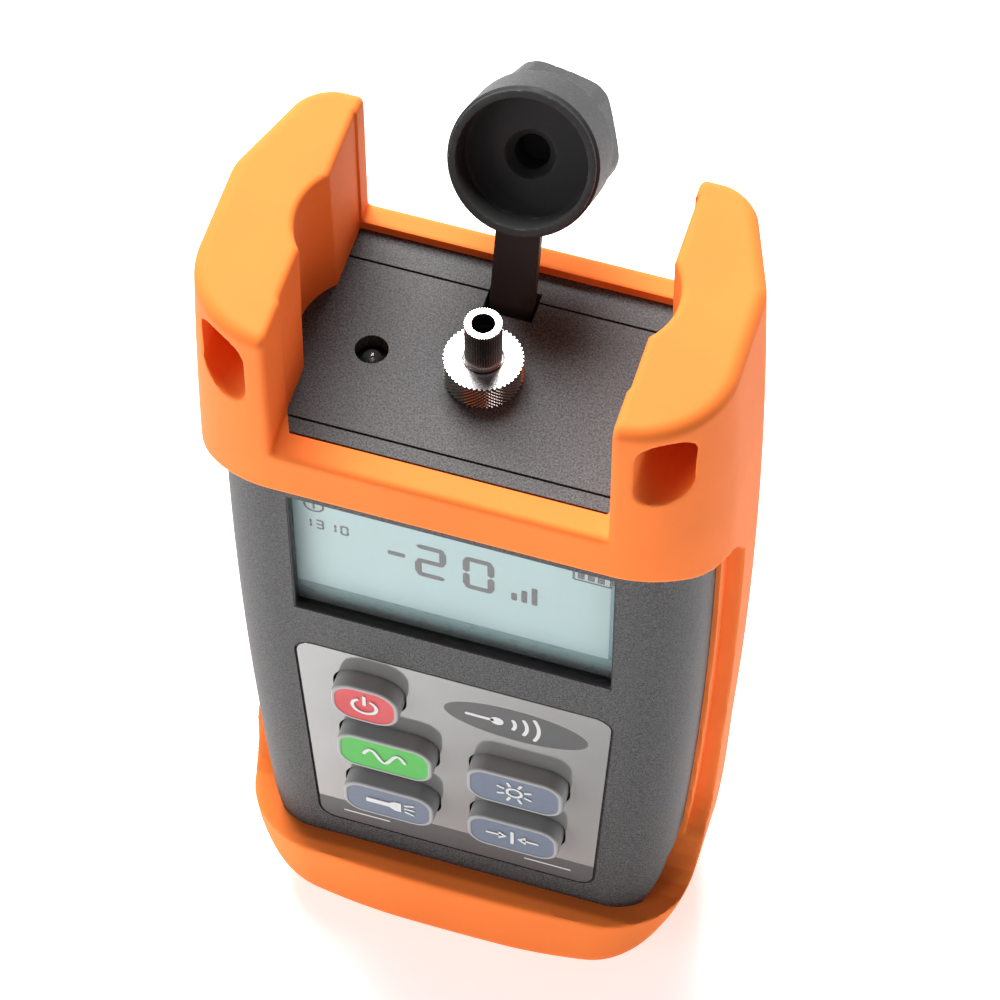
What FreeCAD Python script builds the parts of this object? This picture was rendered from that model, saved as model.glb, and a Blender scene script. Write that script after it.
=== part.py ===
import FreeCAD, Part
import math
import os

V = FreeCAD.Vector

# ------------------------------------------------------------------
# Hand-held optical power meter in a silicone boot.
# Frame: origin at the centre of the base, +Z up along the meter,
# -Y towards the display and keys, +X to the user's right. Millimetres.
# ------------------------------------------------------------------
HEIGHT = 144.6          # base of the boot to the tops of its horns
BELLY_Z = 92.0          # height of the widest section
BELLY_HALF = 35.9       # half width of the boot at its widest
BELLY_CURVE = 0.0005    # half width falls by this times (z - belly)^2
BOOT_FRONT = -20.4
BOOT_BACK = 20.2
BOOT_FRONT_R = 13.0     # front corner radius of the boot in plan
BOOT_WALL = 3.1         # side wall of the boot
STRIP_DEPTH = 2.3       # recess of the side strips
CUP_FLARE = 0.45        # extra half width of the cup below the strips
CUP_FLARE_Z = (22.0, 48.0)

BODY_FRONT = -16.0
BODY_BACK = 17.0
BODY_BOTTOM = 3.6
BODY_TOP = 120.0
BODY_FRONT_R = 8.0
SHELL_WALL = 2.2
SPLIT_Y = -1.0          # parting line of the two shells

HORN_HALF = 22.2        # half of the gap between the horns
SCALLOP_R = 8.75
SCALLOP_X = 16.15
RIM_FRONT_Z = 120.25
RIM_BACK_Z = 121.5
CUP_LIP_Z = 16.0
POCKET = (24.9, 31.7, 129.4, 142.0, -6.0)   # lanyard pocket: x0, x1, z0, z1, floor y
CORD_SLOT = (28.4, 31.2, 131.2, 140.2)      # cord slot from the pocket floor to the back

WIN_HALF = 22.3
WIN_Z0, WIN_Z1 = 77.0, 104.2
GLASS_SET = 1.69        # how far the window plate sits behind the front
GLASS_T = 1.2

LABEL_Z1, LABEL_Z0 = 68.2, 20.8
LABEL_TOP_HALF, LABEL_BOT_HALF = 22.5, 20.35
LABEL_R = 2.5
LABEL_T = 0.5
LABEL_GAP = 0.4

KEY_PROUD = 2.5         # key above the label
KEY_GAP = 0.4
KEY_TRAVEL = 0.8
KEYS = {                # x0, x1, z0, z1, corner radius
    "key_power": (-17.0, -7.1, 55.0, 63.9, 3.6),
    "key_wavelength": (-16.55, -2.45, 42.1, 50.6, 3.0),
    "key_backlight": (2.45, 16.55, 42.1, 50.6, 3.0),
    "key_torch": (-16.0, -2.45, 29.15, 37.25, 3.0),
    "key_reference": (2.45, 16.0, 29.15, 37.25, 3.0),
}

PORT_Y = -1.0           # axis of the optical port
BARREL_R = 2.42
FERRULE_R = 1.25        # bore for a 2.5 mm ferrule
BARREL_TOP = 132.0
NUT_R = 5.1
NUT_Z0, NUT_Z1 = 120.35, 124.5
PORT_THREAD_R = 3.6

LED_X = -15.0
STRAP_Y = 10.8          # strap axis where it leaves the panel
STRAP_LEAN = 13.8       # strap leans back, degrees
BEAD_Z = 116.2
CAP_C = (0.0, 15.3, 144.3)
CAP_R = 9.85
CAP_IR = 8.45
CAP_LEN = 14.3
CAP_GRIP = 8.5          # where the six grip flats begin
CAP_FLAT = 8.9          # distance of a grip flat from the axis
CAP_TURN = 81.0         # direction of the first flat about the axis, degrees
CAP_TILT = 54.7         # degrees the cap's open face is turned back from up


def box(x0, x1, y0, y1, z0, z1):
    return Part.makeBox(x1 - x0, y1 - y0, z1 - z0, V(x0, y0, z0))


def cyl(r, p, d, h):
    return Part.makeCylinder(r, h, V(*p), V(*d))


def fuse(shapes):
    s = shapes[0]
    for t in shapes[1:]:
        s = s.fuse(t)
    return s


def poly_prism(points, axis, a, b):
    """Closed polygon of 2-D points, extruded along axis from a to b."""
    pts = []
    for p in points:
        if axis == "x":
            pts.append(V(a, p[0], p[1]))
        elif axis == "y":
            pts.append(V(p[0], a, p[1]))
        else:
            pts.append(V(p[0], p[1], a))
    pts.append(pts[0])
    d = {"x": V(b - a, 0, 0), "y": V(0, b - a, 0), "z": V(0, 0, b - a)}[axis]
    return Part.Face(Part.makePolygon(pts)).extrude(d)


def rounded_prism(x0, x1, z0, z1, r, y0, y1):
    """Rounded rectangle in X and Z, from y0 to y1."""
    def p(x, z):
        return V(x, y0, z)
    k = r * (1 - math.sqrt(0.5))
    e = [Part.LineSegment(p(x0 + r, z0), p(x1 - r, z0)),
         Part.Arc(p(x1 - r, z0), p(x1 - k, z0 + k), p(x1, z0 + r)),
         Part.LineSegment(p(x1, z0 + r), p(x1, z1 - r)),
         Part.Arc(p(x1, z1 - r), p(x1 - k, z1 - k), p(x1 - r, z1)),
         Part.LineSegment(p(x1 - r, z1), p(x0 + r, z1)),
         Part.Arc(p(x0 + r, z1), p(x0 + k, z1 - k), p(x0, z1 - r)),
         Part.LineSegment(p(x0, z1 - r), p(x0, z0 + r)),
         Part.Arc(p(x0, z0 + r), p(x0 + k, z0 + k), p(x0 + r, z0))]
    w = Part.Wire([g.toShape() for g in e])
    return Part.Face(w).extrude(V(0, y1 - y0, 0))


def belly(z):
    return BELLY_HALF - BELLY_CURVE * (z - BELLY_Z) ** 2


def boot_half(z):
    t = min(1.0, max(0.0, (CUP_FLARE_Z[1] - z) / (CUP_FLARE_Z[1] - CUP_FLARE_Z[0])))
    return belly(z) + CUP_FLARE * t * t * (3 - 2 * t)


def plan(z, half, front, back, rf, kink, cham, back_in):
    """Plan outline at height z: rounded front corners, sides straight
    to the kink, then a slanted flank and a rounded back corner."""
    k = rf * (1 - math.sqrt(0.5))
    bx1, by1 = half - cham[0], cham[1]
    bx2 = half - back_in
    mx, my = bx1 * 0.5 + bx2 * 0.5 + 0.55, by1 * 0.5 + back * 0.5 + 0.5
    def p(x, y):
        return V(x, y, z)
    right = [Part.LineSegment(p(0, front), p(half - rf, front)),
             Part.Arc(p(half - rf, front), p(half - k, front + k), p(half, front + rf)),
             Part.LineSegment(p(half, front + rf), p(half, kink)),
             Part.LineSegment(p(half, kink), p(bx1, by1)),
             Part.Arc(p(bx1, by1), p(mx, my), p(bx2, back)),
             Part.LineSegment(p(bx2, back), p(0, back))]
    left = [Part.LineSegment(p(0, back), p(-bx2, back)),
            Part.Arc(p(-bx2, back), p(-mx, my), p(-bx1, by1)),
            Part.LineSegment(p(-bx1, by1), p(-half, kink)),
            Part.LineSegment(p(-half, kink), p(-half, front + rf)),
            Part.Arc(p(-half, front + rf), p(-half + k, front + k), p(-half + rf, front)),
            Part.LineSegment(p(-half + rf, front), p(0, front))]
    return Part.Wire([g.toShape() for g in right + left])


def boot_loft(z0, z1, inset=0.0):
    """Boot outline with a true plane for its back."""
    n = 13
    ws = []
    for i in range(n):
        z = z0 + (z1 - z0) * i / (n - 1)
        ws.append(plan(z, boot_half(z) - inset, BOOT_FRONT, BOOT_BACK + 0.5, BOOT_FRONT_R - inset,
                       5.4, (4.4, 16.8), 9.6))
    return Part.makeLoft(ws, True, False).common(box(-60, 60, -40, BOOT_BACK, -5, 160))


def body_loft(z0, z1, inset=0.0):
    n = 6
    ws = []
    for i in range(n):
        z = z0 + (z1 - z0) * i / (n - 1)
        ws.append(plan(z, belly(z) - BOOT_WALL - inset, BODY_FRONT + inset, BODY_BACK - inset,
                       BODY_FRONT_R - inset * 0.9, 4.3, (4.0, 14.6 - inset * 0.6), 7.6))
    return Part.makeLoft(ws, True, False)


def base_profile(drop, y0, y1, half_flat=9.0, top=160.0):
    """Front-view outline of the rounded base, offset inwards by drop.
    The outside of the cup (no drop) is fuller at its corners."""
    def p(x, z):
        return V(x, y0, z)
    if drop:
        a, b, c, az, bz, mz = 20.6 - drop * 0.35, 28.6 - drop * 0.75, 33.6 - drop, 3.2, 10.4, 1.0
    else:
        a, b, c, az, bz, mz = 22.8, 32.2, 34.1, 2.2, 8.8, 0.7
    g = [Part.LineSegment(p(-half_flat, drop), p(half_flat, drop)),
         Part.Arc(p(half_flat, drop), p((half_flat + a) / 2, drop + mz), p(a, drop + az)),
         Part.Arc(p(a, drop + az), p(b, drop * 0.75 + bz), p(c, 25.0)),
         Part.LineSegment(p(c, 25.0), p(45, 60)),
         Part.LineSegment(p(45, 60), p(45, top)),
         Part.LineSegment(p(45, top), p(-45, top)),
         Part.LineSegment(p(-45, top), p(-45, 60)),
         Part.LineSegment(p(-45, 60), p(-c, 25.0)),
         Part.Arc(p(-c, 25.0), p(-b, drop * 0.75 + bz), p(-a, drop + az)),
         Part.Arc(p(-a, drop + az), p(-(half_flat + a) / 2, drop + mz), p(-half_flat, drop))]
    w = Part.Wire([s.toShape() for s in g])
    return Part.Face(w).extrude(V(0, y1 - y0, 0))


parts = {}

# ---------------------------------------------------------------- body
body = body_loft(0.0, BODY_TOP).common(base_profile(BODY_BOTTOM, -40, 40))
cavity = body_loft(0.0, BODY_TOP - SHELL_WALL, SHELL_WALL).common(
    base_profile(BODY_BOTTOM + SHELL_WALL, -40, 40))

SCREWS = [(-24.0, 17.5), (24.0, 17.5), (-24.0, 112.6), (24.0, 112.6)]
front_boss = fuse([cyl(2.5, (x, -14.5, z), (0, 1, 0), 13.5) for x, z in SCREWS]).common(body)
rear_boss = fuse([cyl(2.9, (x, SPLIT_Y, z), (0, 1, 0), 17.0) for x, z in SCREWS]).common(body)

shell = body.cut(cavity)
front = shell.common(box(-60, 60, -40, SPLIT_Y, -5, 140)).fuse(front_boss)
rear = shell.common(box(-60, 60, SPLIT_Y, 40, -5, 140)).fuse(
    rear_boss.common(box(-60, 60, SPLIT_Y, 40, -5, 140)))

# screw pilot holes in the front bosses, stepped holes in the rear bosses
front = front.cut(fuse([cyl(1.1, (x, -9.5, z), (0, 1, 0), 8.5) for x, z in SCREWS]))
rear = rear.cut(fuse([cyl(1.1, (x, SPLIT_Y - 1, z), (0, 1, 0), 20) for x, z in SCREWS]))
rear = rear.cut(fuse([cyl(2.1, (x, 11.0, z), (0, 1, 0), 10) for x, z in SCREWS]))

# window opening with a rebate for the plate behind it
front = front.cut(box(-WIN_HALF, WIN_HALF, -20, -10, WIN_Z0, WIN_Z1))
GLASS_Y = BODY_FRONT + GLASS_SET
front = front.cut(box(-24.0, 24.0, GLASS_Y, -10, WIN_Z0 - 1.7, WIN_Z1 + 1.7))

# recess for the keypad label
def label_face(grow, y0, y1, r):
    t, b = LABEL_TOP_HALF + grow, LABEL_BOT_HALF + grow
    z1, z0 = LABEL_Z1 + grow, LABEL_Z0 - grow
    s = poly_prism([(-b, z0), (b, z0), (t, z1), (-t, z1)], "y", y0, y1)
    ed = [e for e in s.Edges if abs(e.Vertexes[0].Y - e.Vertexes[1].Y) > 1e-4]
    return s.makeFillet(r, ed)

front = front.cut(label_face(LABEL_GAP, -20, BODY_FRONT + LABEL_T, LABEL_R + LABEL_GAP))

# key openings through the front wall
key_holes = fuse([rounded_prism(x0 - KEY_GAP, x1 + KEY_GAP, z0 - KEY_GAP, z1 + KEY_GAP,
                                r + KEY_GAP, -22, -12) for x0, x1, z0, z1, r in KEYS.values()])
front = front.cut(key_holes)

# shallow decorative grooves in the top panel
front = front.cut(box(-40, 40, -13.9, -13.55, BODY_TOP - 0.4, BODY_TOP + 1))
rear = rear.cut(box(-40, 40, 12.05, 12.4, BODY_TOP - 0.4, BODY_TOP + 1))

# battery compartment walls, moulded with the rear shell
BAT_X, BAT_Z0, BAT_Z1 = 19.6, 11.2, 62.6
tray = box(-BAT_X, BAT_X, 0.6, 15.4, BAT_Z0, BAT_Z1).cut(
    box(-BAT_X + 1.2, BAT_X - 1.2, 1.8, 20, BAT_Z0 + 1.2, BAT_Z1 - 1.2))
rear = rear.fuse(tray.common(body))
rear = rear.cut(box(-BAT_X + 1.2, BAT_X - 1.2, 14.0, 20, BAT_Z0 + 1.2, BAT_Z1 - 1.2))

# openings in the top panel: optical port, lamp, cap strap
port_hole = cyl(PORT_THREAD_R, (0, PORT_Y, 110), (0, 0, 1), 20)
led_hole = cyl(2.2, (LED_X, PORT_Y, 112), (0, 0, 1), 20)
lx = 3.4
slot = poly_prism([(STRAP_Y - 1.9, BODY_TOP + 1), (STRAP_Y - 1.7, 117.0),
                   (STRAP_Y + 1.7, 117.0), (STRAP_Y + 3.2, BODY_TOP + 1)], "x", -lx, lx)
front = front.cut(port_hole).cut(led_hole)
rear = rear.cut(port_hole).cut(led_hole).cut(slot)

# socket under the panel that holds the strap's bead
sock = box(-6.6, 6.6, STRAP_Y - 3.2, STRAP_Y + 3.2, 112.6, BODY_TOP - SHELL_WALL)
sock = sock.cut(cyl(1.9, (-5.0, STRAP_Y, BEAD_Z), (1, 0, 0), 10.0))
sock = sock.cut(slot)
sock = sock.cut(poly_prism([(STRAP_Y - 1.7, 117.2), (STRAP_Y - 1.4, BEAD_Z),
                            (STRAP_Y + 1.6, BEAD_Z), (STRAP_Y + 1.9, 117.2)], "x", -lx, lx))
rear = rear.fuse(sock.common(body))
parts["front_shell"] = front
parts["rear_shell"] = rear

# battery door
parts["battery_door"] = box(-BAT_X + 1.35, BAT_X - 1.35, 15.0, BODY_BACK, BAT_Z0 + 1.35, BAT_Z1 - 1.35)

# ---------------------------------------------------------------- boot
boot = boot_loft(0.0, HEIGHT).common(base_profile(0.0, -40, 40))
# gap between the horns, above the panel
boot = boot.cut(box(-HORN_HALF, HORN_HALF, -16.0, 17.0, BODY_TOP, 160))
boot = boot.cut(box(-HORN_HALF, HORN_HALF, -40, 10, RIM_FRONT_Z, 160))
boot = boot.cut(box(-HORN_HALF, HORN_HALF, 10, 40, RIM_BACK_Z, 160))
# scallops in the inner faces of the horns
for s in (-1, 1):
    boot = boot.cut(Part.makeCone(SCALLOP_R + 0.7, SCALLOP_R, HEIGHT - BODY_TOP + 0.2,
                                  V(s * (SCALLOP_X - 0.35), 0.6, BODY_TOP), V(0, 0, 1)))
# front opening between the cup and the collar
side_view = [(-40, CUP_LIP_Z), (-20.4, CUP_LIP_Z), (-10.5, CUP_LIP_Z), (-7.4, CUP_LIP_Z + 1.6),
             (-5.6, CUP_LIP_Z + 4.4), (-4.8, CUP_LIP_Z + 8.0), (-4.8, 101.9), (-7.0, 104.9), (-9.6, 107.6), (-11.4, 108.3), (-13.6, 108.8), (-15.4, 109.4),
             (-17.2, 110.5), (-18.6, 111.3), (-20.4, 112.3), (-40, 112.3)]
boot = boot.cut(poly_prism(side_view, "x", -60, 60))
# recessed side strips
strip = [(-5.0, CUP_LIP_Z + 7.0), (-2.0, CUP_LIP_Z + 13.0), (-2.0, 97.2), (-5.0, 102.0)]
boot = boot.cut(poly_prism(strip, "x", -60, 60).cut(boot_loft(0.0, HEIGHT, STRIP_DEPTH)))
# lanyard slots: a pocket in the front corner, then a narrow cord slot to the back
for s in (-1, 1):
    def slot_solid(xa, xb, za, zb, y0, y1):
        a, b = sorted((s * xa, s * xb))
        r = (xb - xa) / 2 - 0.01
        return rounded_prism(a, b, za, zb, r, y0, y1)
    px0, px1, pz0, pz1, py = POCKET
    sx0, sx1, sz0, sz1 = CORD_SLOT
    boot = boot.cut(slot_solid(px0, px1, pz0, pz1, -30, py))
    boot = boot.cut(slot_solid(sx0, sx1, sz0, sz1, py - 1, 30))
boot = boot.cut(body)
parts["protective_boot"] = boot

# ---------------------------------------------------------- display
parts["display_window"] = box(-23.9, 23.9, GLASS_Y, GLASS_Y + GLASS_T, WIN_Z0 - 1.6, WIN_Z1 + 1.6)
lcd_y = GLASS_Y + GLASS_T
parts["lcd_panel"] = box(-23.3, 23.3, lcd_y, lcd_y + 1.4, 74.6, 107.0)
parts["lcd_backlight"] = fuse([box(-23.3, 23.3, lcd_y + 1.4, -10.2, 74.6, 107.0),
                               box(-3, 3, lcd_y + 1.4, -10.2, 72.4, 75.0)])

# ---------------------------------------------------------- keypad
plate = label_face(0.0, BODY_FRONT, BODY_FRONT + LABEL_T, LABEL_R)
parts["keypad_plate"] = plate.cut(key_holes)
for name, (x0, x1, z0, z1, r) in KEYS.items():
    top_y = BODY_FRONT - KEY_PROUD
    cap = rounded_prism(x0, x1, z0, z1, r, top_y, -13.4)
    try:
        ed = [e for e in cap.Edges if all(abs(v.Y - top_y) < 1e-4 for v in e.Vertexes)]
        cap = cap.makeFillet(0.35, ed)
    except Exception:
        pass
    flange = rounded_prism(x0 - 1.0, x1 + 1.0, z0 - 0.9, z1 + 0.9, r + 0.9, -13.45, -12.5)
    parts[name] = cap.fuse(flange)
membrane = rounded_prism(-19.0, 19.0, 26.0, 67.0, 2.0, -11.2, -10.2)
domes = []
for x0, x1, z0, z1, r in KEYS.values():
    domes.append(Part.makeCone(2.6, 1.8, 0.35, V((x0 + x1) / 2, -11.2, (z0 + z1) / 2), V(0, -1, 0)))
parts["keypad_membrane"] = fuse([membrane] + domes)

# ---------------------------------------------------------- electronics
pcb = box(-20.6, 20.6, -10.2, -8.6, 14.0, 110.0)
parts["circuit_board"] = pcb

# optical port: flanged, threaded receptacle clamped under the panel
rec = cyl(PORT_THREAD_R, (0, PORT_Y, 111.5), (0, 0, 1), 11.1)
rec = rec.fuse(cyl(6.0, (0, PORT_Y, 115.6), (0, 0, 1), BODY_TOP - SHELL_WALL - 115.6))
rec = rec.cut(cyl(2.4, (0, PORT_Y, 111), (0, 0, 1), 6.0)).cut(cyl(1.6, (0, PORT_Y, 111), (0, 0, 1), 20))
parts["detector_receptacle"] = rec
parts["photodiode"] = fuse([cyl(2.35, (0, PORT_Y, 113.4), (0, 0, 1), 3.4),
                            cyl(0.25, (-1.2, PORT_Y, 108.4), (0, 0, 1), 5.2),
                            cyl(0.25, (1.2, PORT_Y, 108.4), (0, 0, 1), 5.2)])
sleeve = fuse([cyl(BARREL_R, (0, PORT_Y, 122.6), (0, 0, 1), BARREL_TOP - 122.6),
               cyl(3.35, (0, PORT_Y, 122.6), (0, 0, 1), 0.9)])
sleeve = sleeve.cut(cyl(FERRULE_R, (0, PORT_Y, 120), (0, 0, 1), 20))
sleeve = sleeve.cut(Part.makeCone(FERRULE_R, 1.6, 0.5, V(0, PORT_Y, BARREL_TOP - 0.5), V(0, 0, 1)))
parts["adapter_barrel"] = sleeve
nut = cyl(NUT_R, (0, PORT_Y, NUT_Z0), (0, 0, 1), NUT_Z1 - NUT_Z0)
nut = nut.cut(cyl(PORT_THREAD_R + 0.07, (0, PORT_Y, NUT_Z0 - 1), (0, 0, 1), 123.7 - NUT_Z0 + 1))
nut = nut.cut(cyl(BARREL_R + 0.08, (0, PORT_Y, 120), (0, 0, 1), 10))
ed = [e for e in nut.Edges if isinstance(e.Curve, Part.Circle) and abs(e.Curve.Radius - NUT_R) < 1e-6]
parts["coupling_nut"] = nut.makeChamfer(0.35, ed)

led = fuse([cyl(1.5, (LED_X, PORT_Y, 113.2), (0, 0, 1), 4.2),
            Part.makeSphere(1.5, V(LED_X, PORT_Y, 117.4)),
            cyl(1.9, (LED_X, PORT_Y, 113.0), (0, 0, 1), 0.8)])
parts["torch_led"] = led
hold = cyl(3.2, (LED_X, PORT_Y, 112.6), (0, 0, 1), BODY_TOP - SHELL_WALL - 112.6)
hold = hold.cut(cyl(1.92, (LED_X, PORT_Y, 110), (0, 0, 1), 3.8))
hold = hold.cut(cyl(1.52, (LED_X, PORT_Y, 112), (0, 0, 1), 4.4))
hold = hold.cut(Part.makeCone(1.52, 2.2, 1.6, V(LED_X, PORT_Y, 116.2), V(0, 0, 1)))
parts["led_holder"] = hold

# ---------------------------------------------------------- dust cap
th = math.radians(CAP_TILT)
nrm = V(0, -math.sin(th), math.cos(th))        # out of the open face
c0 = V(*CAP_C)


def on_axis(s):
    return c0 - nrm * s


u = V(1, 0, 0)
w = nrm.cross(u)
cap = Part.makeCylinder(CAP_R, CAP_LEN, c0, -nrm)
ed = [e for e in cap.Edges if isinstance(e.Curve, Part.Circle)]
front_ed = [e for e in ed if abs((e.Curve.Center - c0).Length) < 1e-6]
back_ed = [e for e in ed if abs((e.Curve.Center - on_axis(CAP_LEN)).Length) < 1e-6]
cap = cap.makeChamfer(0.35, front_ed)
back_ed = [e for e in cap.Edges if isinstance(e.Curve, Part.Circle)
           and (e.Curve.Center - on_axis(CAP_LEN)).Length < 1e-6]
cap = cap.makeChamfer(0.9, back_ed)
# six grip flats on the knob
for i in range(6):
    a = math.radians(CAP_TURN + 60.0 * i)
    d = u * math.cos(a) + w * math.sin(a)
    t = nrm.cross(d)
    q = [d * CAP_FLAT + t * -7, d * CAP_FLAT + t * 7, d * 14.0 + t * 7, d * 14.0 + t * -7]
    f = Part.Face(Part.makePolygon([on_axis(CAP_GRIP) + p for p in q + [q[0]]]))
    cap = cap.cut(f.extrude(-nrm * 10.0))
cap = cap.cut(Part.makeCylinder(CAP_IR, 4.7, c0, -nrm))
cap = cap.cut(Part.makeCylinder(2.55, 5.6, on_axis(4.6), -nrm))
cap = cap.cut(Part.makeCone(3.3, 2.55, 0.8, on_axis(4.7), -nrm))
# strap: from the bead under the panel to the underside of the cap
la = math.radians(STRAP_LEAN)
sdir = V(0, math.sin(la), math.cos(la))
bead = V(0, STRAP_Y, BEAD_Z)
tdir = V(0, math.cos(la), -math.sin(la))
def strap_sec(s, hw, t):
    p = bead + sdir * s
    q = [p + u * -hw + tdir * (-t / 2), p + u * hw + tdir * (-t / 2),
         p + u * hw + tdir * (t / 2), p + u * -hw + tdir * (t / 2)]
    return Part.makePolygon(q + [q[0]])
strap = Part.makeLoft([strap_sec(0.0, 3.05, 1.7), strap_sec(8.0, 3.05, 1.7), strap_sec(16.0, 2.6, 1.7)],
                      True, True)
top_blend = Part.makeLoft([strap_sec(15.6, 2.6, 1.7), strap_sec(19.5, 2.6, 2.6), strap_sec(23.0, 2.6, 3.4)],
                          True, True)
solid_cap = Part.makeCylinder(CAP_R, 5.6, c0, -nrm)
strap = strap.fuse(top_blend)
cut_away = Part.makeCylinder(CAP_IR + 0.4, 7.0, c0 + nrm * 1.5, -nrm)
strap = strap.cut(cut_away)
front_half = Part.makeCylinder(30, 30, c0 + nrm * -0.8, nrm)
strap = strap.cut(front_half)
bead_s = cyl(1.6, (-4.6, STRAP_Y, BEAD_Z), (1, 0, 0), 9.2)
parts["dust_cap"] = cap.fuse(strap).fuse(bead_s)

# ---------------------------------------------------------- power
cells = []
for x in (-12.0, 0.0, 12.0):
    c = cyl(5.2, (x, 8.2, 14.6), (0, 0, 1), 43.4).fuse(cyl(1.9, (x, 8.2, 58.0), (0, 0, 1), 1.1))
    cells.append(c)
parts["battery_cells"] = Part.makeCompound(cells)
contacts = []
for x in (-12.0, 0.0, 12.0):
    contacts.append(box(x - 4.2, x + 4.2, 3.4, 12.6, 59.1, 59.6))
    contacts.append(Part.makeCone(3.4, 1.8, 1.7, V(x, 8.2, 12.9), V(0, 0, 1)).fuse(
        box(x - 4.2, x + 4.2, 3.4, 12.6, BAT_Z0 + 1.2, 12.9)))
parts["battery_contacts"] = Part.makeCompound(contacts)
screws = []
for x, z in SCREWS:
    s = cyl(1.1, (x, -9.0, z), (0, 1, 0), 20.1).fuse(cyl(2.0, (x, 11.0, z), (0, 1, 0), 1.6))
    s = s.cut(box(x - 1.2, x + 1.2, 11.9, 13, z - 0.2, z + 0.2)).cut(box(x - 0.2, x + 0.2, 11.9, 13, z - 1.2, z + 1.2))
    screws.append(s)
parts["housing_screws"] = Part.makeCompound(screws)

os.makedirs("parts", exist_ok=True)
for name, shape in parts.items():
    if len(shape.Solids) > 1 and name not in ("battery_cells", "battery_contacts", "housing_screws"):
        sol = sorted(shape.Solids, key=lambda q: -q.Volume)
        print(name, "solids", [round(q.Volume, 3) for q in sol])
        shape = sol[0]
    elif len(shape.Solids) == 1:
        shape = shape.Solids[0]
    bb = shape.BoundBox
    print(f"{name:22s} vol {shape.Volume:9.1f} valid {shape.isValid()} x {bb.XMin:.1f} {bb.XMax:.1f} y {bb.YMin:.1f} {bb.YMax:.1f} z {bb.ZMin:.1f} {bb.ZMax:.1f}")
    shape.exportStep("parts/" + name + ".step")
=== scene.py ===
import bpy
import math
import numpy as np
from mathutils import Matrix, Vector


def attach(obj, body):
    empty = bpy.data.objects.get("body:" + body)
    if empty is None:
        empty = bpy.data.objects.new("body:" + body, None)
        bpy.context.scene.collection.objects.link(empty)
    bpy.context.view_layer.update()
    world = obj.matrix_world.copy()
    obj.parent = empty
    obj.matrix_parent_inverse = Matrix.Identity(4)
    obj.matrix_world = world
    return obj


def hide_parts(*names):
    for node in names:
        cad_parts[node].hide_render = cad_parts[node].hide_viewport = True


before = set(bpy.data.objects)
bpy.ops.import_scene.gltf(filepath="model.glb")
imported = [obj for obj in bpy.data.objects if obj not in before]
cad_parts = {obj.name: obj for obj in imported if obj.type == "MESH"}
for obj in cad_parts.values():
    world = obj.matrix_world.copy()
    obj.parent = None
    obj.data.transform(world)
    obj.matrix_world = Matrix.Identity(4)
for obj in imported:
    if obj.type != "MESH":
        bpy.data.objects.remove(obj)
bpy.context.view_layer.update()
MM = 0.001

# ------------------------------------------------------------------ camera and stage
scene = bpy.context.scene
scene.view_settings.view_transform = "Standard"
scene.view_settings.look = "None"
cam_data = bpy.data.cameras.new("camera")
cam_data.lens = 158.33
cam_data.sensor_width = 36.0
cam_data.clip_start = 0.01
cam_data.clip_end = 20.0
cam = bpy.data.objects.new("camera", cam_data)
scene.collection.objects.link(cam)
right = Vector((0.95577, 0.29412, -0.00167)).normalized()
forward = Vector((-0.16104, 0.51856, -0.83974)).normalized()
up = right.cross(forward).normalized()
rot = Matrix((right, up, -forward)).transposed().to_4x4()
cam.matrix_world = Matrix.Translation(Vector((0.09605, -0.30342, 0.58200))) @ rot
scene.camera = cam


def link(o):
    scene.collection.objects.link(o)
    return o


# ------------------------------------------------------------------ materials
class Mat:
    """A procedural material: helper that keeps node wiring short."""

    def __init__(self, name):
        self.m = bpy.data.materials.new(name)
        self.m.use_nodes = True
        self.nt = self.m.node_tree
        self.b = self.nt.nodes["Principled BSDF"]
        self.tc = self.nt.nodes.new("ShaderNodeTexCoord")

    def node(self, kind, **inputs):
        n = self.nt.nodes.new(kind)
        for k, v in inputs.items():
            n.inputs[k].default_value = v
        return n

    def link(self, a, b):
        self.nt.links.new(a, b)

    def noise(self, scale, detail=2.0, rough=0.5, coords=None):
        n = self.node("ShaderNodeTexNoise", Scale=scale, Detail=detail, Roughness=rough)
        self.link(coords or self.tc.outputs["Object"], n.inputs["Vector"])
        return n.outputs["Fac"]

    def ramp(self, fac, stops, interp="LINEAR"):
        r = self.nt.nodes.new("ShaderNodeValToRGB")
        r.color_ramp.interpolation = interp
        e = r.color_ramp.elements
        while len(e) > 1:
            e.remove(e[-1])
        e[0].position, e[0].color = stops[0][0], tuple(stops[0][1]) + (1.0,)
        for p, c in stops[1:]:
            q = e.new(p)
            q.color = tuple(c) + (1.0,)
        self.link(fac, r.inputs["Fac"])
        return r.outputs["Color"]

    def rough(self, fac, lo, hi):
        r = self.node("ShaderNodeMapRange", **{"From Min": 0.3, "From Max": 0.7, "To Min": lo, "To Max": hi})
        self.link(fac, r.inputs["Value"])
        self.link(r.outputs["Result"], self.b.inputs["Roughness"])

    def bump(self, fac, distance, strength=1.0, below=None):
        n = self.node("ShaderNodeBump", Distance=distance, Strength=strength)
        self.link(fac, n.inputs["Height"])
        if below is not None:
            self.link(below, n.inputs["Normal"])
        return n.outputs["Normal"]

    def set(self, **kw):
        for k, v in kw.items():
            self.b.inputs[k.replace("_", " ")].default_value = v
        return self


def lin(r, g, b):
    """sRGB 0-255 to linear."""
    def f(c):
        c = c / 255.0
        return c / 12.92 if c <= 0.04045 else ((c + 0.055) / 1.055) ** 2.4
    return (f(r), f(g), f(b))


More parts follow.
